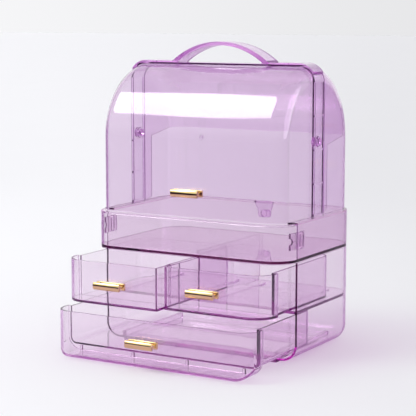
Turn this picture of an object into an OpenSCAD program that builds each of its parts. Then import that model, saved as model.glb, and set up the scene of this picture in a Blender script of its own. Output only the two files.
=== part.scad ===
// Countertop make-up organizer.
// Two small drawers stand over one wide drawer, an open tray tops the cabinet, and a clear
// dust hood covers the tray. The hood's front half is a lid that swings back on two pins.
// Millimetres. X runs across the front, -Y faces the user and Z is up. The origin is on the
// table under the middle of the closed organizer.

/* [Cabinet] */
// Overall width of cabinet and tray
body_w = 260; // [230:1:300]
// Overall depth with every drawer closed
body_d = 183; // [165:1:200]
// Wall thickness of cabinet and tray
wall = 2.4; // [1.8:0.1:3.2]
// Radius of the upright rear corners
rear_r = 32; // [24:1:40]
// Radius of the lower side corners
base_r = 20; // [12:1:26]
// Height of the base plate under the cabinet
base_h = 3; // [1:0.5:8]
// Distance from the cabinet's sides and back to the base plate
base_inset = 26; // [26:1:40]
// Clear height of the wide drawer's bay
large_bay_h = 53.2; // [44:0.2:80]
// Clear height of the small drawers' bay
small_bay_h = 55.6; // [40:0.2:80]
// Thickness of the middle shelf
shelf_t = 3.4; // [2.4:0.1:4]
// Height of the floor rails under the wide drawer
rail_h = 6.2; // [4:0.2:8]
// Height of the shelf rails under the small drawers
shelf_rail_h = 1.4; // [1:0.2:3]
// Width of a rail
rail_w = 5; // [3:0.5:8]
// Distance from the cabinet's side to the middle of the rails next to it
rail_inset = 27; // [26:1:45]
// Distance from the middle of the cabinet to the inner shelf rails
rail_middle = 22; // [6:1:50]

/* [Tray] */
// Radius of the tray's upright front corners
tray_front_r = 30; // [20:1:30]
// Height of the skirt that hangs below the tray's floor
skirt_h = 4; // [3.8:0.2:8]
// Thickness of the tray's floor
tray_floor_t = 3.4; // [2:0.1:3.6]
// Height of the tray's side walls above its floor
tray_wall_h = 41; // [32:1:60]
// Width of the flange along the tray's rim
flange_w = 13; // [12:0.5:15]
// Thickness of the rim flange
flange_t = 2.4; // [1.6:0.1:3]
// How far the front guard stops below the rim
guard_drop = 1; // [0:0.2:3]
// Width of the bead along the guard's top
bead_w = 5; // [3.5:0.5:6]
// Height of the bead along the guard's top
bead_h = 2; // [1.5:0.5:4]
// Length of each slot in the tray's side walls
slot_l = 20; // [12:0.5:24]
// Width of each slot
slot_w = 7.8; // [6:0.2:10]
// Distance from a side wall's front edge to the middle of its slot
slot_back = 10.4; // [9:0.2:20]
// Thickness of the snaps that tie the guard to the side walls
snap_t = 2; // [1.4:0.1:2.4]
// How far a snap reaches forward of the side wall's edge
snap_front = 10; // [7:1:24]
// Radius of the grip notch in each snap
notch_r = 3.6; // [2:0.2:5]

/* [Hood] */
// Wall thickness of lid and rear hood
hood_wall = 2; // [1.6:0.1:3]
// Distance from the tray's side to the outside of the carry frame
hood_inset = 4.8; // [4:0.2:8]
// Distance from the tray's front to the lid
hood_front_inset = 6.8; // [6:0.2:20]
// Distance from the tray's back to the rear hood
hood_rear_inset = 3.2; // [0.6:0.2:6]
// Radius of the lid's rounded side edges
lid_edge_r = 18; // [12:1:28]
// Clearance between the lid and what it swings inside
swing_gap = 0.4; // [0.3:0.1:1]
// Height of the lid's lower edge above the rim flange
lid_rest_gap = 0.4; // [0.3:0.1:1]
// How far the lid's cheeks reach behind the pivot
cheek_back = 26; // [20:1:40]
// Drop of the cheeks' rear step below the pivot
cheek_step = 6; // [3:1:12]
// Distance behind the pivot at which the visor's level edge starts
visor_run = 70; // [50:1:75]
// Height of the visor's rear edge above the pivot
visor_rise = 2; // [1:0.5:10]
// Outer radius of the ring moulded on the rear hood
ring_r = 2.8; // [2:0.2:5]
// Height of that ring's middle below the pivot
ring_drop = 11; // [4:0.5:40]
// Distance of that ring to the left of the middle
ring_x = 84; // [40:1:90]

/* [Carry frame] */
// Width of the frame and handle, front to back
frame_w = 25.5; // [20:0.5:34]
// Depth of the frame's legs, across the organizer
leg_t = 3.2; // [2.8:0.1:6]
// Thickness of the legs' web
web_t = 1.4; // [1:0.1:2]
// Thickness of the legs' front and rear flanges
rib_t = 2; // [1.2:0.1:3]
// Thickness of the frame's top
top_t = 2; // [1.6:0.1:4]
// Height of the lowest cross rib above the rim
first_rib = 37; // [20:1:45]
// Spacing of the cross ribs
rib_pitch = 39; // [34:1:45]
// Number of the cross ribs
rib_count = 3; // [1:1:3]
// Radius of the boss around each pivot
boss_r = 6.5; // [5.5:0.1:9]

/* [Pivot] */
// Radius of the pivot pins
pin_r = 3; // [2:0.1:4]
// Running clearance of the lid on its pins, on the radius
pin_fit = 0.08; // [0.02:0.01:0.1]
// Radius of the pins' heads and caps
head_r = 4.6; // [4.4:0.1:6]
// Thickness of a pin's head
head_t = 1.4; // [1:0.1:2]
// Thickness of the lid's boss around each pin
lid_boss_t = 1.2; // [0.8:0.1:2]
// Thickness of a retaining cap
cap_t = 2.8; // [2:0.1:4]

/* [Handle] */
// Rise of the handle above the frame's top
handle_rise = 25; // [20:0.2:34]
// Half the distance between the handle's outer roots
handle_half = 65; // [60:1:75]
// Thickness of the handle's crown
handle_t = 4.2; // [3:0.1:6]
// Half the distance between the handle's inner roots
grip_half = 58; // [44:1:62]
// Thickness of the handle's feet
foot_t = 1.8; // [1.4:0.1:3]
// How far a foot runs past the frame's straight top
foot_over = 19; // [4:1:20]
// Widths of the inner and outer hooks
hook_widths = [7, 4.6]; // [3:0.2:8]
// Distances of the inner and outer hooks from the middle
hook_places = [60.5, 89]; // [60:0.5:96]
// Thickness of a hook
hook_t = 1.6; // [1.2:0.1:2.5]
// How far the hooks reach below the frame's top
hook_drop = 2.4; // [2:0.1:2.6]

/* [Drawers] */
// Depth of the drawer fronts, which stand before the cabinet
front_d = 30; // [22:1:34]
// Radius of a small drawer front's outer corner
small_front_r = 26; // [15:1:26]
// Radius of the wide drawer front's corners
large_front_r = 22; // [12:1:24]
// Wall thickness of the drawers
drawer_wall = 2.4; // [1.6:0.1:3]
// Clearance between a drawer and what it slides on or beside
slide_gap = 0.5; // [0.4:0.1:1]
// Clearance between a drawer box and the cabinet's side
side_gap = 2.6; // [1:0.2:4]
// Space behind the closed small drawers
small_back = 13.6; // [8:0.2:20]
// Space behind the closed wide drawer
large_back = 27.6; // [20:0.2:40]
// Space above the small drawers' rims
small_rim_gap = 4.6; // [2:0.2:10]
// Space above the wide drawer's rim
large_rim_gap = 2; // [1:0.2:10]
// How far the left drawer stands open
left_open = 58.5; // [0:0.5:90]
// How far the right drawer stands open
right_open = 45; // [0:0.5:90]
// How far the wide drawer stands open
large_open = 78.5; // [0:0.5:90]
// Width of the tabs that tie the wide front to its box
tie_w = 3; // [2:0.5:8]
// Spacing of those tabs
tie_pitch = 72; // [50:1:73]
// Number of those tabs
tie_count = 4; // [2:1:4]

/* [Pulls] */
// Length of a pull
pull_l = 38; // [20:1:60]
// Height of a pull's front bar
pull_h = 8.8; // [6:0.2:14]
// Projection of a pull
pull_out = 13; // [10:0.5:20]
// Thickness of a pull's front bar
pull_bar_t = 4.4; // [3:0.1:6]
// Height of the flat band at the front of a pull's front bar
pull_flat = 0.4; // [0.2:0.1:2]
// Thickness of a pull's base bar
pull_base_t = 3.4; // [2:0.1:5]
// Thickness of the web between the two bars
pull_web_t = 2.8; // [1.6:0.1:5]
// Sideways place of the lid's pull
lid_pull_x = 2; // [-60:0.5:60]
// Height of the lid's pull above the lid's lower edge
lid_pull_rise = 28; // [10:0.5:60]
// Distance of the left drawer's pull from the middle
left_pull_x = 61; // [30:1:80]
// Distance of the right drawer's pull from the middle
right_pull_x = 53; // [30:1:80]
// Sideways place of the wide drawer's pull
large_pull_x = -5; // [-60:1:60]
// Height of the small drawers' pulls above the fronts' lower edge
small_pull_rise = 24; // [10:0.5:40]
// Height of the wide drawer's pull above the front's lower edge
large_pull_rise = 27.5; // [12:0.5:44]

/* [Rear clip] */
// Width of the clip's tab at its root under the rim
clip_w = 23.6; // [18:0.2:32]
// Width of the tab around the stud
clip_low_w = 16; // [13:0.2:17]
// Height of the tab below the rim
clip_drop = 20; // [16:0.5:30]
// Depth below the rim at which the tab starts to narrow
clip_neck = 4; // [3:0.5:6]
// Thickness of the tab
clip_t = 2.4; // [1.6:0.1:3]
// Radius of the tab's stud
stud_r = 4.5; // [3:0.1:6]
// Sideways place of the clip
clip_x = 8.5; // [-20:0.5:20]

/* [Hidden] */
$fn = 64;

// Clearance between mouldings that are assembled and don't move
seat_gap = 0.2;
// Clearance between a snap and the wall that it lies on
snap_gap = 0.1;
// Clearance between a snap's barb and its slot
slot_gap = 0.3;
// Overshoot of cutting solids
cut = 1;
// Size that reaches past the whole organizer
far = 4 * body_w;

// Plan places
half_w = body_w / 2;
front_y = -body_d / 2;
rear_y = body_d / 2;
edge_y = front_y + front_d;
inner_w = half_w - wall;

// Levels
base_z = base_h;
floor_z = base_z + wall;
shelf_z = floor_z + large_bay_h;
small_floor_z = shelf_z + shelf_t;
cabinet_h = small_floor_z + small_bay_h;
tray_z = cabinet_h + skirt_h;
rim_z = tray_z + tray_wall_h;
guard_top_z = rim_z - guard_drop;

// Lid, rear hood and pivot
lid_r = (body_d - hood_front_inset - hood_rear_inset - swing_gap - hood_wall) / 2;
pivot_y = front_y + hood_front_inset + lid_r;
lid_z = rim_z + lid_rest_gap;
pivot_z = lid_z + swing_gap + lid_r;
frame_out = half_w - hood_inset;
frame_in = frame_out - leg_t;
lid_half = frame_in - swing_gap;
bore_r = lid_r + swing_gap;
bore_edge_r = lid_edge_r + swing_gap;
frame_top_z = pivot_z + bore_r + top_t;
frame_edge_r = bore_edge_r + leg_t;
frame_front_y = pivot_y - frame_w / 2;
frame_rear_y = pivot_y + frame_w / 2;
flange_in = half_w - flange_w;
flange_setback = frame_in - flange_in;
visor_z = pivot_z + visor_rise;

// Pivot stack on the right, from the outside inwards
lid_boss_in = lid_half - hood_wall - lid_boss_t;
cap_out = lid_boss_in - swing_gap / 2;
cap_in = cap_out - cap_t;
pin_end = (cap_in + cap_out) / 2;

// Drawers
left_front_y = front_y - left_open;
right_front_y = front_y - right_open;
large_front_y = front_y - large_open;
box_out = inner_w - side_gap;
divider_half = wall / 2;
small_in = divider_half + slide_gap;
small_l = body_d - wall - small_back;
large_l = body_d - wall - large_back;
box_r = rear_r - wall - side_gap - small_back;
box_low_r = base_r - wall - side_gap - rail_h - slide_gap;
front_gap = 0.7;
small_bottom_z = small_floor_z + shelf_rail_h + slide_gap;
small_rim_z = cabinet_h - small_rim_gap;
large_bottom_z = floor_z + rail_h + slide_gap;
large_chin_z = base_z + slide_gap;
large_rim_z = shelf_z - large_rim_gap;

// Colours
lilac = [0.78, 0.66, 0.88, 0.45];
deep_lilac = [0.62, 0.45, 0.78, 0.6];
gold = [0.86, 0.68, 0.33];

// ---------- shared shapes ----------

// Outline from x0 to x1 and y0 to y1; radii holds the lower left, lower right, upper left
// and upper right corner radius
module rounded(x0, x1, y0, y1, radii) {
    difference() {
        translate([x0, y0])
            square([x1 - x0, y1 - y0]);
        corner_cut(x0, y0, 1, 1, radii[0]);
        corner_cut(x1, y0, -1, 1, radii[1]);
        corner_cut(x0, y1, 1, -1, radii[2]);
        corner_cut(x1, y1, -1, -1, radii[3]);
    }
}

// What a corner of radius r at [x, y] loses; sx and sy point into the outline
module corner_cut(x, y, sx, sy, r) {
    if (r > 0)
        difference() {
            translate([x + sx * (r - cut) / 2, y + sy * (r - cut) / 2])
                square(r + cut, center = true);
            translate([x + sx * r, y + sy * r])
                circle(r);
        }
}

// Upright prism of a plan outline
module upright(z0, z1) {
    translate([0, 0, z0])
        linear_extrude(z1 - z0)
            children();
}

// Prism along Y of an outline drawn in X and Z
module along_y(y0, y1) {
    translate([0, y1, 0])
        rotate([90, 0, 0])
            linear_extrude(y1 - y0)
                children();
}

// Prism along X of an outline drawn in Y and Z
module along_x(x0, x1) {
    translate([x0, 0, 0])
        rotate([90, 0, 90])
            linear_extrude(x1 - x0)
                children();
}

// Cylinder along X from x0 to x1 on the pivot axis
module on_pivot(x0, x1, r) {
    translate([x0, pivot_y, pivot_z])
        rotate([0, 90, 0])
            cylinder(h = x1 - x0, r = r);
}

// The child on the right and its mirror image on the left
module both_sides() {
    children();
    mirror([1, 0, 0])
        children();
}

// ---------- cabinet ----------

module base_plate() {
    half = half_w - base_inset;
    color(deep_lilac)
        upright(0, base_z)
            rounded(-half, half, edge_y, rear_y - base_inset, [0, 0, base_inset, base_inset]);
}

// Block of the cabinet, drawn in from its outer faces by inset, from y0 back and up to z1.
// Its lower edges are rounded at the sides and the back, and its rear corners are upright.
module cabinet_block(inset, y0, z1) {
    half = half_w - inset;
    y1 = rear_y - inset;
    z0 = base_z + inset;
    low_r = base_r - inset;
    back_r = rear_r - inset;
    along_y(y0, y1 - back_r)
        rounded(-half, half, z0, z1, [low_r, low_r, 0, 0]);
    along_x(-half + back_r, half - back_r)
        rounded(y0, y1, z0, z1, [0, low_r, 0, 0]);
    both_sides()
        translate([half - back_r, y1 - back_r, 0])
            rotate_extrude()
                rounded(0, back_r, z0, z1, [0, low_r, 0, 0]);
}

module cabinet_shell() {
    color(lilac)
        difference() {
            cabinet_block(0, edge_y, cabinet_h);
            cabinet_block(wall, edge_y - cut, cabinet_h + cut);
        }
}

// Rail of height h on the level z, with its middle at x
module rail(x, z, h) {
    translate([x - rail_w / 2, edge_y, z])
        cube([rail_w, rear_y - wall - base_r - edge_y, h]);
}

module floor_rails() {
    color(deep_lilac)
        both_sides()
            rail(half_w - rail_inset, floor_z, rail_h);
}

module shelf_rails() {
    color(deep_lilac)
        both_sides() {
            rail(half_w - rail_inset, small_floor_z, shelf_rail_h);
            rail(rail_middle, small_floor_z, shelf_rail_h);
        }
}

module middle_shelf() {
    reach = inner_w - seat_gap;
    color(deep_lilac)
        upright(shelf_z, small_floor_z)
            rounded(-reach, reach, edge_y, rear_y - wall - seat_gap,
                    [0, 0, rear_r - wall, rear_r - wall]);
}

module centre_divider() {
    color(deep_lilac)
        translate([-divider_half, edge_y, small_floor_z])
            cube([wall, rear_y - wall - seat_gap - edge_y, small_bay_h - seat_gap]);
}

// ---------- tray ----------

// Tray outline, drawn in from its outer faces by inset
module tray_outline(inset) {
    front_r = tray_front_r - inset;
    back_r = rear_r - inset;
    rounded(-half_w + inset, half_w - inset, front_y + inset, rear_y - inset,
            [front_r, front_r, back_r, back_r]);
}

// Inner edge of the rim flange, which follows the hood's inner face
module flange_opening() {
    rounded(-flange_in, flange_in, front_y - far, pivot_y + bore_r - flange_setback,
            [0, 0, bore_edge_r, bore_edge_r]);
}

// Outline of a slot in the right wall, in Y and Z, grown by grow
module slot_outline(grow) {
    straight = slot_l - slot_w;
    translate([edge_y + slot_back, tray_z + tray_wall_h / 2])
        union() {
            square([slot_w + 2 * grow, straight], center = true);
            for (side = [-1, 1])
                translate([0, side * straight / 2])
                    circle(slot_w / 2 + grow);
        }
}

module tray_base() {
    clip_notch = clip_w / 2 + slide_gap;
    notch_y = pivot_y + bore_r - clip_t - 2 * slide_gap;
    color(lilac)
        difference() {
            union() {
                difference() {
                    upright(cabinet_h, tray_z)
                        tray_outline(0);
                    upright(cabinet_h - cut, tray_z - tray_floor_t)
                        tray_outline(wall);
                }
                difference() {
                    upright(tray_z - tray_floor_t / 2, rim_z)
                        tray_outline(0);
                    upright(tray_z - tray_floor_t, rim_z - flange_t)
                        tray_outline(wall);
                    upright(tray_z - tray_floor_t, rim_z + cut)
                        flange_opening();
                    translate([-far / 2, front_y - far, tray_z])
                        cube([far, far + front_d, far]);
                }
            }
            both_sides()
                along_x(inner_w - cut, half_w + cut)
                    slot_outline(0);
            translate([clip_x - clip_notch, notch_y, rim_z - flange_t - cut])
                cube([2 * clip_notch, rear_y - wall - notch_y, flange_t + 2 * cut]);
        }
}

module front_guard() {
    color(lilac)
        difference() {
            upright(tray_z, guard_top_z)
                tray_outline(0);
            upright(tray_z - cut, guard_top_z - bead_h)
                tray_outline(wall);
            upright(tray_z - cut, guard_top_z + cut)
                tray_outline(bead_w);
            translate([-far / 2, edge_y - slide_gap, tray_z - cut])
                cube([far, far, far]);
        }
}

// Snap on the right: a plate that follows the guard's inner face, runs on behind the side
// wall and has a barb that fills that wall's slot
module guard_snap() {
    height = slot_l - 2 * slide_gap;
    middle_z = tray_z + tray_wall_h / 2;
    low_z = middle_z - height / 2;
    start_y = edge_y - snap_front;
    difference() {
        upright(low_z, low_z + height)
            difference() {
                tray_outline(wall + snap_gap);
                tray_outline(wall + snap_gap + snap_t);
            }
        upright(low_z - cut, low_z + height + cut)
            union() {
                translate([-far, front_y])
                    square([far, body_d]);
                translate([-far / 2, start_y - far])
                    square(far);
                translate([-far / 2, edge_y + slot_back + slot_w])
                    square(far);
            }
        translate([0, start_y, middle_z])
            rotate([0, 90, 0])
                cylinder(h = half_w, r = notch_r);
    }
    along_x(inner_w - snap_gap - snap_t / 2, half_w - snap_gap)
        slot_outline(-slot_gap);
}

module guard_snaps() {
    color(deep_lilac)
        both_sides()
            guard_snap();
}

// ---------- hood ----------

// Solid of the hood: a drum about the pivot axis with rounded edges, on a block that drops
// from the axis to the level z0
module hood_block(half, r, edge_r, z0) {
    translate([0, pivot_y, pivot_z])
        rotate([0, 90, 0])
            rotate_extrude()
                rounded(0, r, -half, half, [0, edge_r, 0, edge_r]);
    upright(z0, pivot_z)
        translate([0, pivot_y])
            rounded(-half, half, -r, r, [edge_r, edge_r, edge_r, edge_r]);
}

// Hollow hood between an outer and an inner block
module hood_skin(half, r, edge_r, z0) {
    difference() {
        hood_block(half, r, edge_r, z0);
        hood_block(half - hood_wall, r - hood_wall, edge_r - hood_wall, z0 - cut);
    }
}

module rear_hood() {
    color(lilac) {
        intersection() {
            hood_skin(frame_in + hood_wall, bore_r + hood_wall, bore_edge_r + hood_wall, rim_z);
            translate([-far / 2, frame_rear_y, rim_z])
                cube([far, far, far]);
        }
        translate([-ring_x, rear_y - hood_rear_inset, pivot_z - ring_drop])
            rotate([-90, 0, 0])
                difference() {
                    cylinder(h = hood_rear_inset / 2, r = ring_r);
                    translate([0, 0, -cut])
                        cylinder(h = hood_rear_inset + 2 * cut, r = ring_r / 2);
                }
    }
}

// Outline of the clip's tab in X and Z, which narrows from the rim down to the stud
module clip_outline() {
    low_z = rim_z - clip_drop;
    shoulder_z = low_z + clip_low_w / 2;
    rounded(-clip_low_w / 2, clip_low_w / 2, low_z, shoulder_z, [stud_r, stud_r, 0, 0]);
    polygon([
        [-clip_low_w / 2, shoulder_z],
        [clip_low_w / 2, shoulder_z],
        [clip_w / 2, rim_z - clip_neck],
        [clip_w / 2, rim_z],
        [-clip_w / 2, rim_z],
        [-clip_w / 2, rim_z - clip_neck]
    ]);
}

module rear_clip() {
    tab_y = pivot_y + bore_r - seat_gap - clip_t;
    stud_z = rim_z - clip_drop + stud_r + seat_gap;
    stud_y = rear_y - wall - seat_gap;
    color(deep_lilac) {
        translate([clip_x, 0, 0])
            along_y(tab_y, tab_y + clip_t)
                clip_outline();
        translate([clip_x, stud_y, stud_z])
            rotate([90, 0, 0])
                cylinder(h = stud_y - tab_y + clip_t / 2, r = stud_r);
    }
}

// Outline of the frame in X and Z, standing on the level base
module frame_outline(half, top, r, base = rim_z) {
    rounded(-half, half, base, top, [0, 0, r, r]);
}

// Pocket between the flanges of the right leg, with its cross ribs left standing
module leg_pocket() {
    pocket_z = rim_z + leg_t;
    pocket_top = rim_z + first_rib + rib_count * rib_pitch;
    difference() {
        translate([frame_in + web_t, frame_front_y + rib_t, pocket_z])
            cube([leg_t, frame_w - 2 * rib_t, pocket_top - pocket_z]);
        for (i = [0 : rib_count - 1])
            translate([frame_in, frame_front_y, rim_z + first_rib + i * rib_pitch])
                cube([2 * leg_t, frame_w, rib_t]);
        on_pivot(frame_in, frame_out + leg_t, boss_r);
    }
}

module carry_frame() {
    color(deep_lilac)
        difference() {
            along_y(frame_front_y, frame_rear_y)
                difference() {
                    frame_outline(frame_out, frame_top_z, frame_edge_r);
                    frame_outline(frame_in, frame_top_z - top_t, bore_edge_r, rim_z - cut);
                }
            both_sides() {
                leg_pocket();
                on_pivot(frame_in - cut, frame_out + cut, pin_r + pin_fit);
            }
        }
}

module pivot_pins() {
    color(deep_lilac)
        both_sides() {
            on_pivot(pin_end, frame_out + head_t / 2, pin_r);
            on_pivot(frame_out, frame_out + head_t, head_r);
        }
}

module pin_caps() {
    color(deep_lilac)
        both_sides()
            difference() {
                on_pivot(cap_in, cap_out, head_r);
                on_pivot(pin_end - seat_gap / 2, cap_out + cut, pin_r + pin_fit / 2);
            }
}

// ---------- handle ----------

// Radius of an arc that spans 2 * half and rises by rise
function arc_radius(half, rise) = (half * half + rise * rise) / (2 * rise);

// Disc whose top is at the level apex and which crosses the level base at half from the middle
module bow_disc(half, base, apex) {
    r = arc_radius(half, apex - base);
    translate([0, apex - r])
        circle(r, $fn = 128);
}

// Foot on the right: a strip that follows the frame's top
module foot_outline() {
    gap = seat_gap / 2;
    end_x = frame_out - frame_edge_r + foot_over;
    difference() {
        frame_outline(frame_out + foot_t, frame_top_z + foot_t, frame_edge_r + foot_t);
        frame_outline(frame_out + gap, frame_top_z + gap, frame_edge_r + gap);
        translate([grip_half - far, 0])
            square(far);
        translate([end_x, 0])
            square([far, 2 * far]);
    }
}

// Hook of width w over the frame's front edge at the distance x from the middle
module hook(x, w) {
    gap = seat_gap / 2;
    translate([x - w / 2, frame_front_y - gap - hook_t, frame_top_z - hook_drop])
        cube([w, hook_t, hook_drop + foot_t]);
    translate([x - w / 2, frame_front_y - gap - hook_t, frame_top_z + gap])
        cube([w, 2 * hook_t, foot_t - gap]);
}

module carry_handle() {
    gap = seat_gap / 2;
    apex = frame_top_z + handle_rise;
    color(deep_lilac) {
        along_y(frame_front_y, frame_rear_y) {
            difference() {
                bow_disc(handle_half, frame_top_z + foot_t, apex);
                bow_disc(grip_half, frame_top_z, apex - handle_t);
                translate([-far / 2, frame_top_z + gap - far])
                    square(far);
            }
            foot_outline();
            mirror([1, 0])
                foot_outline();
        }
        both_sides()
            for (i = [0 : len(hook_places) - 1])
                hook(hook_places[i], hook_widths[i]);
    }
}

// ---------- lid ----------

// Side view of what the lid keeps of the hood, in Y and Z
module lid_outline() {
    back_z = pivot_z - cheek_step;
    translate([pivot_y - far, lid_z])
        square([far, far]);
    polygon([
        [pivot_y - cut, back_z],
        [pivot_y + cheek_back, back_z],
        [pivot_y + visor_run, visor_z],
        [pivot_y + far, visor_z],
        [pivot_y + far, pivot_z + far],
        [pivot_y - cut, pivot_z + far]
    ]);
    intersection() {
        translate([pivot_y, pivot_z])
            circle(pivot_z - lid_z);
        translate([pivot_y - cut, lid_z])
            square([cheek_back + cut, pivot_z - lid_z]);
    }
}

module lid_dome() {
    color(lilac)
        difference() {
            union() {
                intersection() {
                    hood_skin(lid_half, lid_r, lid_edge_r, lid_z);
                    along_x(-half_w, half_w)
                        lid_outline();
                }
                both_sides()
                    on_pivot(lid_boss_in, lid_half - hood_wall / 2, boss_r);
            }
            both_sides()
                on_pivot(lid_boss_in - cut, lid_half + cut, pin_r + pin_fit);
        }
}

// ---------- pulls ----------

// Gold pull at [x, y, z] on a face that looks along -Y: a base bar, a web and a front bar
module pull(x, y, z) {
    bar_y = y - pull_out;
    bar_edge = (pull_bar_t - pull_flat) / 2;
    base_edge = pull_base_t / 4;
    base_half = (pull_h - base_edge) / 2;
    color(gold)
        along_x(x - pull_l / 2, x + pull_l / 2) {
            rounded(y - pull_base_t, y, z - base_half, z + base_half,
                    [base_edge, 0, base_edge, 0]);
            translate([bar_y + pull_bar_t / 2, z - pull_web_t / 2])
                square([pull_out - pull_bar_t / 2 - pull_base_t / 2, pull_web_t]);
            rounded(bar_y, bar_y + pull_bar_t, z - pull_h / 2, z + pull_h / 2,
                    [bar_edge, bar_edge, bar_edge, bar_edge]);
        }
}

module lid_pull() {
    pull(lid_pull_x, pivot_y - lid_r, lid_z + lid_pull_rise);
}

module left_drawer_pull() {
    pull(-left_pull_x, left_front_y, small_bottom_z + small_pull_rise);
}

module right_drawer_pull() {
    pull(right_pull_x, right_front_y, small_bottom_z + small_pull_rise);
}

module large_drawer_pull() {
    pull(large_pull_x, large_front_y, large_chin_z + large_pull_rise);
}

// ---------- drawers ----------

// Right small front with its outside at the level y0: front, both sides and floor
module small_front(y0) {
    y1 = y0 + front_d - slide_gap;
    middle_r = drawer_wall / 2;
    difference() {
        upright(small_bottom_z, small_rim_z)
            rounded(front_gap, half_w, y0, y1, [middle_r, small_front_r, 0, 0]);
        upright(small_bottom_z + drawer_wall, small_rim_z + cut)
            rounded(front_gap + drawer_wall, half_w - drawer_wall, y0 + drawer_wall, y1 + cut,
                    [0, small_front_r - drawer_wall, 0, 0]);
    }
}

// Right small box behind that front, with the step that meets the front's wider sides
module small_box(y0) {
    y1 = y0 + front_d - slide_gap;
    y2 = y0 + small_l;
    step_in = front_gap + drawer_wall + seat_gap;
    step_out = half_w - drawer_wall - seat_gap;
    inner_z = small_bottom_z + drawer_wall;
    difference() {
        union() {
            upright(small_bottom_z, small_rim_z)
                rounded(small_in, box_out, y1, y2, [0, 0, box_r, box_r]);
            translate([step_in, y1 - drawer_wall, inner_z + seat_gap])
                cube([step_out - step_in, drawer_wall + cut, small_rim_z - inner_z - seat_gap]);
        }
        upright(inner_z, small_rim_z + cut)
            rounded(small_in + drawer_wall, box_out - drawer_wall, y1 - drawer_wall - cut,
                    y2 - drawer_wall, [0, 0, box_r - drawer_wall, box_r - drawer_wall]);
        translate([box_out, y1, small_bottom_z - cut])
            cube([half_w, small_l, small_bay_h]);
        translate([step_in - half_w, y1 - drawer_wall - cut, small_bottom_z - cut])
            cube([half_w, drawer_wall + cut, small_bay_h]);
    }
}

module right_drawer_front() {
    color(lilac)
        small_front(right_front_y);
}

module right_drawer_box() {
    color(lilac)
        small_box(right_front_y);
}

module left_drawer_front() {
    color(lilac)
        mirror([1, 0, 0])
            small_front(left_front_y);
}

module left_drawer_box() {
    color(lilac)
        mirror([1, 0, 0])
            small_box(left_front_y);
}

// Block of the wide front from y0 back to y1, drawn in from its outer faces by inset
module large_front_block(inset, y0, y1, z1) {
    plan_r = large_front_r - inset;
    low_r = base_r - inset;
    intersection() {
        upright(large_chin_z, z1)
            rounded(-half_w + inset, half_w - inset, y0, y1, [plan_r, plan_r, 0, 0]);
        along_y(y0, y1)
            rounded(-half_w + inset, half_w - inset, large_chin_z + inset, z1,
                    [low_r, low_r, 0, 0]);
    }
}

module large_drawer_front() {
    y1 = large_front_y + front_d - slide_gap;
    color(lilac)
        difference() {
            large_front_block(0, large_front_y, y1, large_rim_z);
            large_front_block(drawer_wall, large_front_y + drawer_wall, y1 + cut,
                              large_rim_z + cut);
        }
}

// Block of the wide box from y0 back to y1, drawn in from its outer faces by inset
module large_box_block(inset, y0, y1, z1) {
    back_r = max(box_r - inset, inset);
    low_r = max(box_low_r - inset, inset);
    intersection() {
        upright(large_bottom_z, z1)
            rounded(-box_out + inset, box_out - inset, y0, y1, [0, 0, back_r, back_r]);
        along_y(y0, y1)
            rounded(-box_out + inset, box_out - inset, large_bottom_z + inset, z1,
                    [low_r, low_r, 0, 0]);
    }
}

// Box of the wide drawer, with the step that closes the chin below its floor
module large_drawer_box() {
    y1 = large_front_y + front_d - slide_gap;
    y2 = large_front_y + large_l;
    inset = drawer_wall + seat_gap;
    step_out = half_w - inset;
    step_z = large_chin_z + inset;
    step_r = base_r - inset;
    color(lilac)
        difference() {
            union() {
                large_box_block(0, y1 - drawer_wall / 2, y2, large_rim_z);
                along_y(y1 - drawer_wall, y1)
                    rounded(-step_out, step_out, step_z, large_rim_z, [step_r, step_r, 0, 0]);
                for (i = [0 : tie_count - 1])
                    translate([(i - (tie_count - 1) / 2) * tie_pitch - tie_w / 2,
                               y1 - 2 * drawer_wall, step_z])
                        cube([tie_w, drawer_wall + cut, large_bottom_z - step_z]);
            }
            large_box_block(drawer_wall, y1 - 2 * drawer_wall - cut, y2 - drawer_wall,
                            large_rim_z + cut);
        }
}

base_plate();
cabinet_shell();
floor_rails();
middle_shelf();
shelf_rails();
centre_divider();
tray_base();
front_guard();
guard_snaps();
rear_hood();
rear_clip();
carry_frame();
carry_handle();
pivot_pins();
pin_caps();
lid_dome();
lid_pull();
left_drawer_box();
left_drawer_front();
left_drawer_pull();
right_drawer_box();
right_drawer_front();
right_drawer_pull();
large_drawer_box();
large_drawer_front();
large_drawer_pull();
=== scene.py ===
"""Finished look of a clear lilac make-up organizer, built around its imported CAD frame.

The CAD nodes give every place and size. Each clear moulding is taken from its node, gets the
small rounded edges that a mould leaves, and is dressed in dyed clear plastic. The metal pulls
are modelled here.
"""

import logging
import math
from dataclasses import dataclass
from enum import Enum
from typing import Any, Sequence

import bpy
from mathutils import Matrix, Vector


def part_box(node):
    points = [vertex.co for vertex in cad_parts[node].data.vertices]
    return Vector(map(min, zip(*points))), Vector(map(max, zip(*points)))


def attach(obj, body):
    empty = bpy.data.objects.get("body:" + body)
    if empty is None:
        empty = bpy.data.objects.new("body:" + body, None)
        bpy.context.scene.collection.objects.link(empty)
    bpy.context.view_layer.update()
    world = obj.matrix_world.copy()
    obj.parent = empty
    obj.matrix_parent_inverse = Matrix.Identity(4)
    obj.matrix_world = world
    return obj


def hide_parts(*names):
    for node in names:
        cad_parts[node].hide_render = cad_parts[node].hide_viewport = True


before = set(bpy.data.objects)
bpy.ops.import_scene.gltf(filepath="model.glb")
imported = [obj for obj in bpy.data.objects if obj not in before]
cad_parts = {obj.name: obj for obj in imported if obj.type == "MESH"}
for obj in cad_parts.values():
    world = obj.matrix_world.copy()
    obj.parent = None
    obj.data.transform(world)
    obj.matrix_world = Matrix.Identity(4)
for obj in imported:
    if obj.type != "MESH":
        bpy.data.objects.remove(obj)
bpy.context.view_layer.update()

LOG = logging.getLogger("organizer")
MM = 0.001
MERGE_MM = 0.002  # corners closer than this are one corner
AIR_MM = 0.015  # touching mouldings keep this hair of air, so neither shades the other's face
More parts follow.
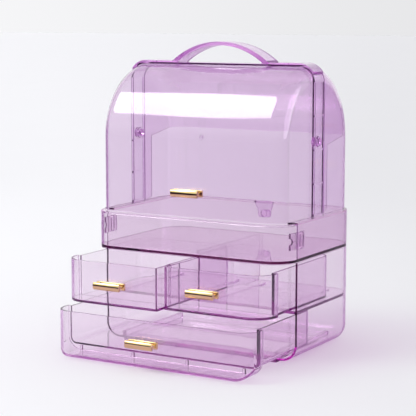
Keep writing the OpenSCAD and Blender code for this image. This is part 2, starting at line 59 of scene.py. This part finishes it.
FLAT_DEG = 0.4  # faces that turn by less than this are one flat face
SHARP_DEG = 35.0  # edges that turn by more than this get a rounding
SMOOTH_DEG = 50.0  # faces that turn by less than this shade as one curve
PULL_SMOOTH_DEG = 40.0
STEP_ENDS = ("From Min", "From Max", "To Min", "To Max")
UP = (0.0, 0.0, 1.0)
Point = tuple[float, float, float]
Reach = tuple[float, float]
Tree = bpy.types.NodeTree
Socket = bpy.types.NodeSocket


# ---------- colour and nodes ----------


def linear_colour(code: str) -> tuple[float, float, float, float]:
    """Turn an sRGB hex colour into the linear colour that a shader takes.

    Args:
        code: Six hex digits, such as "c9b3dd".

    Returns:
        Red, green, blue and alpha, each from 0 to 1.
    """
    parts = [int(code[i : i + 2], 16) / 255 for i in (0, 2, 4)]
    red, green, blue = (
        c / 12.92 if c <= 0.04045 else ((c + 0.055) / 1.055) ** 2.4 for c in parts
    )
    return (red, green, blue, 1.0)


def add_node(
    tree: Tree, kind: str, settings: dict[str | int, Any] | None = None
) -> bpy.types.Node:
    """Add one node with its settings and links.

    Args:
        tree: The material's or world's node tree.
        kind: Blender's name for the node's type.
        settings: Values by the name or number of an input socket or the name of a property. A
            value that is another node's output socket is linked.

    Returns:
        The new node.
    """
    node = tree.nodes.new(kind)
    for name, value in (settings or {}).items():
        if isinstance(value, bpy.types.NodeSocket):
            tree.links.new(value, node.inputs[name])
        elif isinstance(name, int) or name in node.inputs:
            node.inputs[name].default_value = value
        else:
            setattr(node, name, value)
    return node


def empty_tree(name: str) -> tuple[bpy.types.Material, Tree]:
    """Make a node material with nothing in it.

    Args:
        name: The material's name.

    Returns:
        The material and its node tree.
    """
    material = bpy.data.materials.new(name)
    material.use_nodes = True
    material.node_tree.nodes.clear()
    return material, material.node_tree


# ---------- finishes ----------


@dataclass(frozen=True)
class ClearPlastic:
    """Injection-moulded clear polystyrene, dyed all through, so thick places look deeper.

    Attributes:
        name: The material's name.
        wall_hex: What is left of white light behind one wall of wall_mm.
        dye_hex: What is left of it after it has run inside for dye_mm. The faces take the rest
            of a wall's tint.
        wall_mm: The thickness of wall that wall_hex is for.
        dye_mm: The run inside that dye_hex is for. Light runs along a whole wall before it
            leaves by an edge, so the edges turn a deep purple.
        roughness: The polish of the mould's face.
        ior: How strongly it bends light. Clear plastics have 1.49 (acrylic) to 1.59 (pure
            polystyrene).
        ripple_mm: Spacing of the flow ripple that the melt leaves.
        ripple_depth_mm: Depth of that ripple.
        ripple_strength: How much of the ripple shows in the gloss.
        face_pass: Share of a lamp's light that gets through one face.
        face_dye: Power of a wall's tint that one face gives to a lamp's light.
        density_margin: Keeps the absorption colour's darkest part just above black.
    """

    name: str
    wall_hex: str
    dye_hex: str = "cb9fc1"
    wall_mm: float = 2.4
    dye_mm: float = 50.0
    roughness: float = 0.02
    ior: float = 1.5
    ripple_mm: float = 38.0
    ripple_depth_mm: float = 0.05
    ripple_strength: float = 0.6
    face_pass: float = 0.98
    face_dye: float = 0.125
    density_margin: float = 1.02

    def material(self) -> bpy.types.Material:
        """Build the node material.

        Returns:
            A material of a clear shader with absorption inside it.
        """
        material, tree = empty_tree(self.name)
        wall = linear_colour(self.wall_hex)[:3]
        loss = [-math.log(c) / self.dye_mm for c in linear_colour(self.dye_hex)[:3]]
        skin = [min(c * math.exp(k * self.wall_mm), 1.0) for c, k in zip(wall, loss)]
        place = add_node(tree, "ShaderNodeTexCoord").outputs["Object"]
        # long soft waves, as a melt leaves while it fills a large flat mould: they bend the gloss
        wave = add_node(
            tree,
            "ShaderNodeTexNoise",
            {"Scale": 1 / (self.ripple_mm * MM), "Detail": 1.0, "Roughness": 0.4, "Vector": place},
        )
        bump = add_node(
            tree,
            "ShaderNodeBump",
            {
                "Strength": self.ripple_strength,
                "Distance": self.ripple_depth_mm * MM,
                "Height": wave.outputs["Fac"],
            },
        )
        shader = add_node(
            tree,
            "ShaderNodeBsdfPrincipled",
            {
                "Base Color": (*skin, 1.0),
                "Transmission Weight": 1.0,
                "IOR": self.ior,
                "Roughness": self.roughness,
                "Normal": bump.outputs["Normal"],
            },
        )
        density = max(loss) / MM * self.density_margin
        dye = add_node(
            tree,
            "ShaderNodeVolumeAbsorption",
            {"Color": (*(1 - k / MM / density for k in loss), 1.0), "Density": density},
        )
        # lamps and bounced light reach what stands inside and behind, dyed on the way
        ray = add_node(tree, "ShaderNodeLightPath").outputs
        soft = add_node(
            tree,
            "ShaderNodeMath",
            {"operation": "MAXIMUM", 0: ray["Is Shadow Ray"], 1: ray["Is Diffuse Ray"]},
        )
        clear = add_node(
            tree,
            "ShaderNodeBsdfTransparent",
            {"Color": (*(self.face_pass * c**self.face_dye for c in wall), 1.0)},
        )
        surface = add_node(
            tree,
            "ShaderNodeMixShader",
            {0: soft.outputs[0], 1: shader.outputs["BSDF"], 2: clear.outputs["BSDF"]},
        )
        add_node(
            tree,
            "ShaderNodeOutputMaterial",
            {"Surface": surface.outputs[0], "Volume": dye.outputs["Volume"]},
        )
        return material


@dataclass(frozen=True)
class PolishedGold:
    """Gold-coloured plated zinc, die-cast and polished, with a faint grain along its length.

    Attributes:
        name: The material's name.
        colour_hex: The plating's colour seen straight on.
        roughness: The middle polish.
        polish_spread: Shares of the roughness between which the grain varies it.
        grain_mm: The grain's width, drawn coarser than real so that it shows.
        grain_stretch: The grain's scale along x, y and z. It runs along the pull.
    """

    name: str = "polished_gold_plating"
    colour_hex: str = "f1da9e"
    roughness: float = 0.07
    polish_spread: Reach = (0.7, 1.4)
    grain_mm: float = 0.6
    grain_stretch: Point = (0.06, 1.0, 1.0)

    def material(self) -> bpy.types.Material:
        """Build the node material.

        Returns:
            A metal material with fine streaks in its roughness, which soften the highlights.
        """
        material, tree = empty_tree(self.name)
        place = add_node(tree, "ShaderNodeTexCoord").outputs["Object"]
        along = add_node(
            tree, "ShaderNodeMapping", {"Scale": self.grain_stretch, "Vector": place}
        )
        grain = add_node(
            tree,
            "ShaderNodeTexNoise",
            {
                "Scale": 1 / (self.grain_mm * MM),
                "Detail": 2.0,
                "Vector": along.outputs["Vector"],
            },
        )
        low, high = (self.roughness * share for share in self.polish_spread)
        rough = add_node(
            tree,
            "ShaderNodeMapRange",
            {"To Min": low, "To Max": high, "Value": grain.outputs["Fac"]},
        )
        shader = add_node(
            tree,
            "ShaderNodeBsdfPrincipled",
            {
                "Base Color": linear_colour(self.colour_hex),
                "Metallic": 1.0,
                "Roughness": rough.outputs["Result"],
            },
        )
        add_node(tree, "ShaderNodeOutputMaterial", {"Surface": shader.outputs["BSDF"]})
        return material


@dataclass(frozen=True)
class Room:
    """The room round the organizer. The sky shows it, and the paper has it painted on as a painted
    reflection, so no seam is seen between them.

    Attributes:
        inner_reflection_hex: Its tone for a ray that was mirrored inside the plastic.
        outer_reflection_hex: Its tone for a ray that was mirrored on an outside face.
        view_right: The way to the camera's right, in which the light falls off.
        roll_along: The way in which the lit roll of paper runs back.
        roll_bend: Shares of that way between which the roll starts.
    """

    inner_reflection_hex: str = "bc86c4"
    outer_reflection_hex: str = "1c161c"
    view_right: Point = (0.861, 0.509, 0.0)
    roll_along: Point = (-0.1, 0.995, 0.0)
    roll_bend: Reach = (0.26, 0.64)


ROOM = Room()


@dataclass(frozen=True)
class MattePaper:
    """Matt white studio paper. Where polished faces mirror it, its far part is painted in the
    room's tones, a painted reflection of a lilac and a dark room.

    Attributes:
        name: The material's name.
        colour_hex: The paper's white.
        fibre_scale: Scale of its faint unevenness.
        fibre_shade: Share of the white that the unevenness leaves.
        inner_reach_m: Where the painted reflection of the room starts on the paper for a ray that
            was mirrored inside the plastic, and where it is whole.
        outer_reach_m: The same for a ray that was mirrored on an outside face.
        fall_m: Where the painted shade starts and ends, which darkens the paper's colour towards
            the right, where the light falls off.
        fall_share: Share of the paper's colour that the painted shade leaves there.
        far_m: Where the near fall turns into the far one.
        far_bend: Shares of the way to the right between which the far fall changes.
        far_share: Shares of the paper's colour at its left and right, painted shade which brings
            the paper to the tone of the sky behind it.
    """

    name: str = "matte_white_paper"
    colour_hex: str = "fbfbfd"
    fibre_scale: float = 3.0
    fibre_shade: float = 0.985
    inner_reach_m: Reach = (0.4, 1.0)
    outer_reach_m: Reach = (0.5, 1.1)
    fall_m: Reach = (-0.7, 0.9)
    fall_share: float = 0.76
    far_m: Reach = (0.5, 1.9)
    far_bend: Reach = (-0.2, 0.2)
    far_share: Reach = (0.925, 0.8)

    def material(self) -> bpy.types.Material:
        """Build the node material.

        Returns:
            A matt material with the faint unevenness of paper, painted shade towards the right and
            a painted reflection of the room.
        """
        material, tree = empty_tree(self.name)
        place = add_node(tree, "ShaderNodeTexCoord").outputs["Object"]
        fibre = add_node(
            tree,
            "ShaderNodeTexNoise",
            {"Scale": self.fibre_scale, "Detail": 2.0, "Vector": place},
        )
        white = linear_colour(self.colour_hex)
        shade = (*(self.fibre_shade * c for c in white[:3]), 1.0)
        tone = add_node(
            tree,
            "ShaderNodeMix",
            {"data_type": "RGBA", 0: fibre.outputs["Fac"], 6: white, 7: shade},
        )
        near_fall, far_fall, far, past_inner, past_outer, off_roll = self.shares(tree, place)
        # painted shade: the paper's colour darkens towards the right, where it gets less light,
        # and far off it is painted to the sky's tone
        fall = add_node(tree, "ShaderNodeMix", {0: far, 2: near_fall, 3: far_fall})
        painted_shade = add_node(
            tree,
            "ShaderNodeVectorMath",
            {"operation": "SCALE", 0: tone.outputs[2], "Scale": fall.outputs[0]},
        )
        # what only looks through the plastic sees the paper as it is; a mirrored ray sees it turn
        # into a painted reflection of the room
        ray = add_node(tree, "ShaderNodeLightPath").outputs
        colour = painted_shade.outputs["Vector"]
        for past, count, limit, code in (
            (past_inner, ray["Glossy Depth"], 0.5, ROOM.inner_reflection_hex),
            (past_outer, ray["Is Glossy Ray"], ray["Transmission Depth"], ROOM.outer_reflection_hex),
        ):
            share = add_node(
                tree, "ShaderNodeMath", {"operation": "GREATER_THAN", 0: count, 1: limit}
            )
            for part in (past, off_roll):
                share = add_node(
                    tree,
                    "ShaderNodeMath",
                    {"operation": "MULTIPLY", 0: part, 1: share.outputs[0]},
                )
            colour = add_node(
                tree,
                "ShaderNodeMix",
                {"data_type": "RGBA", 0: share.outputs[0], 6: colour, 7: linear_colour(code)},
            ).outputs[2]
        shader = add_node(
            tree,
            "ShaderNodeBsdfPrincipled",
            {"Roughness": 0.9, "Specular IOR Level": 0.0, "Base Color": colour},
        )
        add_node(tree, "ShaderNodeOutputMaterial", {"Surface": shader.outputs["BSDF"]})
        return material

    def shares(self, tree: Tree, place: Socket) -> list[Socket]:
        """Work out the painted shade on the paper and where the paper ends.

        Args:
            tree: The material's node tree.
            place: The place on the paper.

        Returns:
            The near fall, the far fall, how far off the place is, whether it is past the inner
            and past the outer reach, and whether it is off the roll.
        """
        heading = add_node(tree, "ShaderNodeVectorMath", {"operation": "NORMALIZE", 0: place})
        away = add_node(tree, "ShaderNodeVectorMath", {"operation": "LENGTH", 0: place})
        across, aside, back = (
            add_node(
                tree, "ShaderNodeVectorMath", {"operation": "DOT_PRODUCT", 0: start, 1: axis}
            ).outputs["Value"]
            for start, axis in (
                (place, ROOM.view_right),
                (heading.outputs["Vector"], ROOM.view_right),
                (heading.outputs["Vector"], ROOM.roll_along),
            )
        )
        steps = (
            (across, self.fall_m, (1.0, self.fall_share)),
            (aside, self.far_bend, self.far_share),
            (away.outputs["Value"], self.far_m, (0.0, 1.0)),
            (away.outputs["Value"], self.inner_reach_m, (0.0, 1.0)),
            (away.outputs["Value"], self.outer_reach_m, (0.0, 1.0)),
            (back, ROOM.roll_bend, (1.0, 0.0)),
        )
        return [
            add_node(
                tree,
                "ShaderNodeMapRange",
                {
                    "interpolation_type": "SMOOTHSTEP",
                    "Value": value,
                    **dict(zip(STEP_ENDS, (*reach, *result))),
                },
            ).outputs["Result"]
            for value, reach, result in steps
        ]


Finish = ClearPlastic | PolishedGold | MattePaper


class Slot(Enum):
    """The record's material slots."""

    CLEAR = "clear_lilac_plastic"
    DEEP = "deep_lilac_plastic"
    GOLD = "gold_metal"


class Body(Enum):
    """The bodies of the frame that pieces ride on."""

    ORGANIZER = "organizer"
    LID = "lid"
    LEFT = "left_drawer"
    RIGHT = "right_drawer"
    LARGE = "large_drawer"


WALLS = ClearPlastic("dyed_clear_polystyrene_walls", "fbf6fb", "f0b0ed")
TRAY = ClearPlastic("dyed_clear_polystyrene_tray", "f0e1f0")
DRAWERS = ClearPlastic(
    "dyed_clear_polystyrene_drawers", "fff7ff", "cc84ca", ripple_depth_mm=0.012
)
LID = ClearPlastic("dyed_clear_polystyrene_lid", "f8eff9", "c89ccc")
HOOD = ClearPlastic("dyed_clear_polystyrene_hood", "f5e8f7", "c89ccc")
SHELVES = ClearPlastic("dyed_clear_polystyrene_shelves", "faf3fb", "dcb0da", roughness=0.05)
FRAME = ClearPlastic("dyed_clear_polystyrene_frame", "f7eef9", "e080e4", roughness=0.05)
# painted shade: the snaps' dye is deeper and runs a short way, which darkens them to stand in for
# the shade seen in their slots; the lilac itself is the plastic's own dye
SNAPS = ClearPlastic(
    "dyed_clear_polystyrene_snaps_with_painted_shade", "f2e6f2", "d0a8d0", dye_mm=10.0, roughness=0.22
)
PLATING = PolishedGold()
PAPER = MattePaper()


class Finishes:
    """Makes each finish's material once and hands it out."""

    def __init__(self) -> None:
        """Start with no material made."""
        self._made: dict[str, bpy.types.Material] = {}

    def of(self, finish: Finish) -> bpy.types.Material:
        """Return the material of a finish, made on first use.

        Args:
            finish: The finish.

        Returns:
            Its material.
        """
        if finish.name not in self._made:
            self._made[finish.name] = finish.material()
        return self._made[finish.name]


FINISHES = Finishes()


# ---------- modelling helpers ----------


def deselect_all() -> None:
    """Leave no object selected, because operators act on all that is."""
    for other in list(bpy.context.selected_objects):
        other.select_set(False)


def take_up(piece: bpy.types.Object) -> None:
    """Select one piece alone and make it the active one.

    Args:
        piece: The piece to work on.
    """
    deselect_all()
    piece.select_set(True)
    bpy.context.view_layer.objects.active = piece


def finish_with(piece: bpy.types.Object, kind: str, settings: dict[str, Any]) -> None:
    """Add a modifier to a piece with its settings and apply it.

    Args:
        piece: The piece to work on.
        kind: Blender's name for the modifier's type.
        settings: Values by the name of a property.
    """
    take_up(piece)
    modifier = piece.modifiers.new(kind.title(), kind)
    for name, value in settings.items():
        setattr(modifier, name, value)
    bpy.ops.object.modifier_apply(modifier=modifier.name)


def dress(piece: bpy.types.Object, finish: Finish, body: Body) -> None:
    """Give a piece its finish, and let it ride on its body.

    Args:
        piece: The piece to dress.
        finish: Its finish.
        body: The body that it moves with.
    """
    piece.data.materials.clear()
    piece.data.materials.append(FINISHES.of(finish))
    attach(piece, body.value)


# ---------- sub-assemblies ----------


@dataclass
class Mouldings:
    """Clear mouldings of one body and one finish, each taken from a CAD node.

    Attributes:
        body: The body that they ride on.
        finish: Their plastic.
        slot: The record's slot for it. Not used.
        nodes: The CAD nodes that they stand for.
        edge_mm: Width of the rounding that the mould leaves on each sharp edge.
        edge_rings: Number of facets across a rounding.
    """

    body: Body
    finish: ClearPlastic
    slot: Slot
    nodes: Sequence[str]
    edge_mm: float = 0.3
    edge_rings: int = 2

    def build(self) -> list[bpy.types.Object]:
        """Mould and dress each piece.

        Returns:
            The pieces.
        """
        made = []
        for node in self.nodes:
            piece = self.mould(node)
            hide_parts(node)
            dress(piece, self.finish, self.body)
            LOG.info("moulded %s", piece.name)
            made.append(piece)
        return made

    def mould(self, node: str) -> bpy.types.Object:
        """Make a moulded piece from a CAD node, with small rounded edges.

        Args:
            node: The CAD node.

        Returns:
            The new piece, in the node's place.
        """
        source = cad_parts[node]
        piece = bpy.data.objects.new(f"{node}_moulding", source.data.copy())
        bpy.context.scene.collection.objects.link(piece)
        take_up(piece)
        bpy.ops.object.mode_set(mode="EDIT")
        bpy.ops.mesh.select_all(action="SELECT")
        bpy.ops.mesh.remove_doubles(threshold=MERGE_MM * MM)
        bpy.ops.mesh.dissolve_limited(angle_limit=math.radians(FLAT_DEG))
        bpy.ops.transform.shrink_fatten(value=-AIR_MM * MM)
        bpy.ops.object.mode_set(mode="OBJECT")
        finish_with(
            piece,
            "BEVEL",
            {
                "width": self.edge_mm * MM,
                "segments": self.edge_rings,
                "limit_method": "ANGLE",
                "angle_limit": math.radians(SHARP_DEG),
                "use_clamp_overlap": True,
            },
        )
        take_up(piece)
        bpy.ops.object.shade_smooth_by_angle(angle=math.radians(SMOOTH_DEG))
        finish_with(piece, "WEIGHTED_NORMAL", {"keep_sharp": True})
        return piece


@dataclass
class Pull:
    """A polished die-cast pull: an oval front bar and a flat base bar on a thin web.

    Attributes:
        node: The CAD node that it stands for.
        body: The body that it rides on.
        bar_mm: Depth of the front bar.
        bar_short_mm: How much shorter the front bar is than the base.
        rim_mm: Rounding of the front bar's rims.
        rim_sharp_deg: Edges of the front bar that turn by more than this are its rims.
        facets: Number of facets round the front bar.
        web_mm: Thickness of the web.
        web_short_mm: How much shorter the web is than the front bar.
        web_edge_mm: Rounding of its edges.
        base_mm: Depth of the base bar.
        base_edge_mm: Rounding of its edges, and how much less high it is than the front bar.
        edge_rings: Number of facets across a rounding.
    """

    node: str
    body: Body
    bar_mm: float = 4.4
    bar_short_mm: float = 2.6
    rim_mm: float = 0.5
    rim_sharp_deg: float = 50.0
    facets: int = 48
    web_mm: float = 2.8
    web_short_mm: float = 1.0
    web_edge_mm: float = 0.2
    base_mm: float = 3.4
    base_edge_mm: float = 0.8
    edge_rings: int = 3

    def build(self) -> bpy.types.Object:
        """Model the two bars and the web, join them and plate the pull.

        Returns:
            The pull.
        """
        low, high = (Vector(corner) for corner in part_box(self.node))
        size, middle = high - low, (high + low) / 2
        front, back = low.y + self.bar_mm * MM / 2, high.y - self.base_mm * MM / 2
        pull = self.oval_bar(size, Vector((middle.x, front, middle.z)))
        base = self.block(
            "base",
            Vector((size.x, self.base_mm * MM, size.z - self.base_edge_mm * MM)),
            Vector((middle.x, back, middle.z)),
            self.base_edge_mm,
        )
        web_x = size.x - (self.bar_short_mm + self.web_short_mm) * MM
        web = self.block(
            "web",
            Vector((web_x, back - front, self.web_mm * MM)),
            Vector((middle.x, (front + back) / 2, middle.z)),
            self.web_edge_mm,
        )
        for part in (web, base):
            finish_with(pull, "BOOLEAN", {"operation": "UNION", "solver": "EXACT", "object": part})
            bpy.data.objects.remove(part)
        take_up(pull)
        bpy.ops.object.shade_smooth_by_angle(angle=math.radians(PULL_SMOOTH_DEG))
        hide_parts(self.node)
        dress(pull, PLATING, self.body)
        LOG.info("cast %s", pull.name)
        return pull

    def oval_bar(self, size: Vector, middle: Vector) -> bpy.types.Object:
        """Shape the front bar from a lying cylinder, pressed oval, with rounded rims.

        Args:
            size: The pull's size along x, y and z.
            middle: The bar's middle.

        Returns:
            The bar.
        """
        deselect_all()
        bpy.ops.mesh.primitive_cylinder_add(
            vertices=self.facets,
            radius=size.z / 2,
            depth=size.x - self.bar_short_mm * MM,
            rotation=(0, math.pi / 2, 0),
        )
        bar = bpy.context.object
        bar.name = f"{self.node}_casting"
        bpy.ops.object.transform_apply(location=False, rotation=True, scale=False)
        bpy.ops.object.mode_set(mode="EDIT")
        bpy.ops.mesh.select_all(action="SELECT")
        bpy.ops.transform.resize(
            value=(1, self.bar_mm * MM / size.z, 1), center_override=(0, 0, 0)
        )
        bpy.ops.transform.translate(value=middle)
        bpy.ops.object.mode_set(mode="OBJECT")
        finish_with(
            bar,
            "BEVEL",
            {
                "width": self.rim_mm * MM,
                "segments": self.edge_rings,
                "limit_method": "ANGLE",
                "angle_limit": math.radians(self.rim_sharp_deg),
            },
        )
        return bar

    def block(
        self, name: str, size: Vector, middle: Vector, edge_mm: float
    ) -> bpy.types.Object:
        """Make a bar with a rectangular section and rounded edges.

        Args:
            name: The bar's name.
            size: Its size along x, y and z.
            middle: Its middle.
            edge_mm: The radius of its edges.

        Returns:
            The bar.
        """
        deselect_all()
        bpy.ops.mesh.primitive_cube_add(size=1, location=middle, scale=size)
        bar = bpy.context.object
        bar.name = f"{self.node}_{name}"
        bpy.ops.object.transform_apply(location=True, rotation=True, scale=True)
        finish_with(
            bar,
            "BEVEL",
            {"width": edge_mm * MM, "segments": self.edge_rings, "limit_method": "NONE"},
        )
        return bar


# ---------- studio ----------


@dataclass
class Studio:
    """Floor, soft lights, sky and camera.

    A share of a direction is how far the looked-at direction goes along it, from -1 to 1.

    Attributes:
        eye_mm: The camera's place.
        aim_mm: What it looks at.
        lens_mm: Its lens, on a sensor of sensor_mm.
        sensor_mm: The sensor's width.
        shift: Its sideways shift.
        clip_m: How far it sees.
        floor_m: The paper's side.
        sky_hex: The sky's white.
        dome_strength: The dome's light.
        seen_reach: Shares of the way to the right between which the seen sky's strength changes.
        seen_strength: That strength at the left and at the right.
        roll_top: Heights between which the lit roll of paper ends.
        above_bend: Heights between which the white ceiling starts.
        room_strength: The least light of all that a mirrored ray sees.
        box_mm: The softbox's place.
        box_aim_mm: What it faces.
        box_front: Depths between which it begins, so that the sky's other side has none.
        box_least: The least depth that an offset from its middle is divided by.
        box_half: Half its width and height, at a distance of 1.
        box_edge: Width of its soft edge, at a distance of 1.
        box_strength: Its light.
        strip_along: Where the narrow strip light stands, which only mirrored rays see.
        strip_bend: Shares of strip_along between which it starts.
        strip_strength: Its light.
    """

    eye_mm: Point = (840.1, -1458.4, 396.8)
    aim_mm: Point = (-30.7, 15.3, 159.2)
    lens_mm: float = 122.8
    sensor_mm: float = 36.0
    shift: float = -0.0019
    clip_m: float = 100.0
    floor_m: float = 40.0
    sky_hex: str = "fafafc"
    dome_strength: float = 0.75
    seen_reach: Reach = (-0.2, 0.2)
    seen_strength: Reach = (0.968, 0.836)
    roll_top: Reach = (0.3, 0.6)
    above_bend: Reach = (0.04, 0.25)
    room_strength: float = 0.95
    box_mm: Point = (-1590.0, -1490.0, 2400.0)
    box_aim_mm: Point = (0.0, -60.0, 290.0)
    box_front: Reach = (0.0, 0.01)
    box_least: float = 0.001
    box_half: Reach = (0.235, 0.3)
    box_edge: float = 0.055
    box_strength: float = 7.5
    strip_along: Point = (0.92, 0.32, 0.22)
    strip_bend: Reach = (0.86, 0.94)
    strip_strength: float = 3.0

    def build(self) -> None:
        """Set the whole studio."""
        self.set_camera()
        self.set_floor()
        self.set_sky()

    def set_camera(self) -> None:
        """Place the camera in front, to the right of the middle and a little above the hood."""
        data = bpy.data.cameras.new("camera")
        data.lens = self.lens_mm
        data.sensor_width = self.sensor_mm
        data.clip_end = self.clip_m
        data.shift_x = self.shift
        camera = bpy.data.objects.new("camera", data)
        bpy.context.scene.collection.objects.link(camera)
        camera.location = Vector(self.eye_mm) * MM
        look = (Vector(self.aim_mm) - Vector(self.eye_mm)) * MM
        camera.rotation_euler = look.to_track_quat("-Z", "Y").to_euler()
        bpy.context.scene.camera = camera

    def set_floor(self) -> None:
        """Lay the paper that the organizer stands on."""
        deselect_all()
        bpy.ops.mesh.primitive_plane_add(size=self.floor_m, location=(0, 0, 0))
        floor = bpy.context.object
        floor.name = "studio_floor"
        floor.data.materials.append(FINISHES.of(PAPER))

    def set_sky(self) -> None:
        """Light the scene by a pale dome and a softbox, in a room that mirrors dark."""
        world = bpy.data.worlds.new("studio_sky")
        world.use_nodes = True
        world.node_tree.nodes.clear()
        tree = world.node_tree
        share = self.shares(tree)
        paper, inner, outer = (
            linear_colour(code) for code in (self.sky_hex, ROOM.inner_reflection_hex, ROOM.outer_reflection_hex)
        )
        # first the lit part of what the ray may see, then which of the two rooms it sees
        lit, picture = (
            add_node(
                tree, "ShaderNodeMix", {0: share[by], 2: share[first], 3: share[second]}
            ).outputs[0]
            for by, first, second in (
                ("outside", "inner_lit", "outer_lit"),
                ("bounced", "seen", "mirrored"),
            )
        )
        room = add_node(
            tree, "ShaderNodeMix", {"data_type": "RGBA", 0: share["outside"], 6: inner, 7: outer}
        )
        dark = add_node(
            tree, "ShaderNodeMath", {"operation": "SUBTRACT", 0: share["bounced"], 1: lit}
        )
        colour = add_node(
            tree,
            "ShaderNodeMix",
            {"data_type": "RGBA", 0: dark.outputs[0], 6: paper, 7: room.outputs[2]},
        )
        strength = add_node(
            tree, "ShaderNodeMix", {0: share["looked"], 2: share["lighting"], 3: picture}
        )
        sky = add_node(
            tree,
            "ShaderNodeBackground",
            {"Color": colour.outputs[2], "Strength": strength.outputs[0]},
        )
        add_node(tree, "ShaderNodeOutputWorld", {"Surface": sky.outputs["Background"]})
        bpy.context.scene.world = world

    def shares(self, tree: Tree) -> dict[str, Socket | float]:
        """Work out what is lit in each direction, and how a ray came to look there.

        Args:
            tree: The world's node tree.

        Returns:
            The values by name.
        """
        place = add_node(tree, "ShaderNodeTexCoord").outputs["Generated"]
        ray = add_node(tree, "ShaderNodeLightPath").outputs
        values: dict[str, Socket | float] = {
            "dome": self.dome_strength,
            "room": self.room_strength,
            "half": 0.5,
            "box": self.softbox(tree, place),
            "camera": ray["Is Camera Ray"],
            "glossy": ray["Is Glossy Ray"],
            "passed": ray["Is Transmission Ray"],
            "mirrorings": ray["Glossy Depth"],
            "passings": ray["Transmission Depth"],
        }
        for name, axis, reach, result in (
            ("seen", ROOM.view_right, self.seen_reach, self.seen_strength),
            ("backdrop", UP, self.roll_top, (1.0, 0.0)),
            ("behind", ROOM.roll_along, ROOM.roll_bend, (0.0, 1.0)),
            ("strip", self.strip_along, self.strip_bend, (0.0, self.strip_strength)),
            ("above", UP, self.above_bend, (0.0, 1.0)),
        ):
            along = add_node(
                tree, "ShaderNodeVectorMath", {"operation": "DOT_PRODUCT", 0: place, 1: axis}
            )
            values[name] = add_node(
                tree,
                "ShaderNodeMapRange",
                {
                    "interpolation_type": "SMOOTHSTEP",
                    "Value": along.outputs["Value"],
                    **dict(zip(STEP_ENDS, (*reach, *result))),
                },
            ).outputs["Result"]
        for name, operation, first, second in (
            ("lighting", "ADD", "dome", "box"),
            # a ray that was mirrored inside the plastic sees the roll of paper or a lilac room
            ("bounced", "GREATER_THAN", "mirrorings", "half"),
            ("roll", "MULTIPLY", "backdrop", "behind"),
            ("inner_lit", "MAXIMUM", "roll", "box"),
            # one that was mirrored on its outside sees a dark room below the white ceiling
            ("outside", "GREATER_THAN", "glossy", "passings"),
            ("outer_lit", "MAXIMUM", "inner_lit", "strip"),
            ("outer_lit", "MAXIMUM", "outer_lit", "above"),
            ("mirrored", "MAXIMUM", "box", "strip"),
            ("mirrored", "MAXIMUM", "mirrored", "room"),
            # all others only carry light
            ("looked", "MAXIMUM", "camera", "glossy"),
            ("looked", "MAXIMUM", "looked", "passed"),
        ):
            values[name] = add_node(
                tree,
                "ShaderNodeMath",
                {"operation": operation, 0: values[first], 1: values[second]},
            ).outputs[0]
        return values

    def softbox(self, tree: Tree, place: Socket) -> Socket:
        """Draw a far rectangular softbox on the sky.

        Args:
            tree: The world's node tree.
            place: The direction that is looked at.

        Returns:
            The strength that it adds.
        """
        facing = (Vector(self.box_mm) - Vector(self.box_aim_mm)).normalized()
        side = Vector(UP).cross(facing).normalized()
        ahead, *offsets = (
            add_node(
                tree,
                "ShaderNodeVectorMath",
                {"operation": "DOT_PRODUCT", 0: place, 1: tuple(axis)},
            ).outputs["Value"]
            for axis in (facing, side, facing.cross(side))
        )
        depth = add_node(
            tree, "ShaderNodeMath", {"operation": "MAXIMUM", 0: ahead, 1: self.box_least}
        )
        steps = [(ahead, self.box_front, (0.0, self.box_strength))]
        for offset, half in zip(offsets, self.box_half):
            ratio = add_node(
                tree, "ShaderNodeMath", {"operation": "DIVIDE", 0: offset, 1: depth.outputs[0]}
            )
            ratio = add_node(
                tree, "ShaderNodeMath", {"operation": "ABSOLUTE", 0: ratio.outputs[0]}
            )
            steps.append((ratio.outputs[0], (half - self.box_edge, half), (1.0, 0.0)))
        glow, width, height = (
            add_node(
                tree,
                "ShaderNodeMapRange",
                {
                    "interpolation_type": "SMOOTHSTEP",
                    "Value": value,
                    **dict(zip(STEP_ENDS, (*reach, *result))),
                },
            ).outputs["Result"]
            for value, reach, result in steps
        )
        for part in (width, height):
            glow = add_node(
                tree, "ShaderNodeMath", {"operation": "MULTIPLY", 0: glow, 1: part}
            ).outputs[0]
        return glow


# ---------- the whole ----------


def set_light_paths(scene: bpy.types.Scene) -> None:
    """Show colours as they are, and let rays pass the many clear faces of a look inside.

    Args:
        scene: The scene.
    """
    scene.view_settings.view_transform = "Standard"
    scene.cycles.max_bounces = 80
    scene.cycles.transmission_bounces = 80
    scene.cycles.glossy_bounces = 40
    scene.cycles.diffuse_bounces = 4
    scene.cycles.transparent_max_bounces = 64


def main() -> None:
    """Build every sub-assembly in order, then the studio."""
    logging.basicConfig(level=logging.INFO, format="%(name)s: %(message)s")
    set_light_paths(bpy.context.scene)
    drawers = (Body.LEFT, Body.RIGHT, Body.LARGE)
    assemblies = [
        Mouldings(
            Body.ORGANIZER, WALLS, Slot.CLEAR, ["cabinet_shell", "front_guard"], edge_mm=0.1
        ),
        Mouldings(Body.ORGANIZER, TRAY, Slot.CLEAR, ["tray_base"], edge_mm=0.15),
        Mouldings(Body.ORGANIZER, HOOD, Slot.CLEAR, ["rear_hood"]),
        Mouldings(
            Body.ORGANIZER,
            SHELVES,
            Slot.DEEP,
            ["base_plate", "floor_rails", "middle_shelf", "shelf_rails", "centre_divider"],
        ),
        Mouldings(
            Body.ORGANIZER,
            FRAME,
            Slot.DEEP,
            ["rear_clip", "carry_frame", "carry_handle", "pivot_pins", "pin_caps"],
        ),
        Mouldings(Body.ORGANIZER, SNAPS, Slot.DEEP, ["guard_snaps"]),
        Mouldings(Body.LID, LID, Slot.CLEAR, ["lid_dome"]),
        *(
            Mouldings(body, DRAWERS, Slot.CLEAR, [f"{body.value}_box", f"{body.value}_front"])
            for body in drawers
        ),
        *(Pull(f"{body.value}_pull", body) for body in (Body.LID, *drawers)),
        Studio(),
    ]
    for assembly in assemblies:
        assembly.build()


if __name__ == "__main__":
    main()
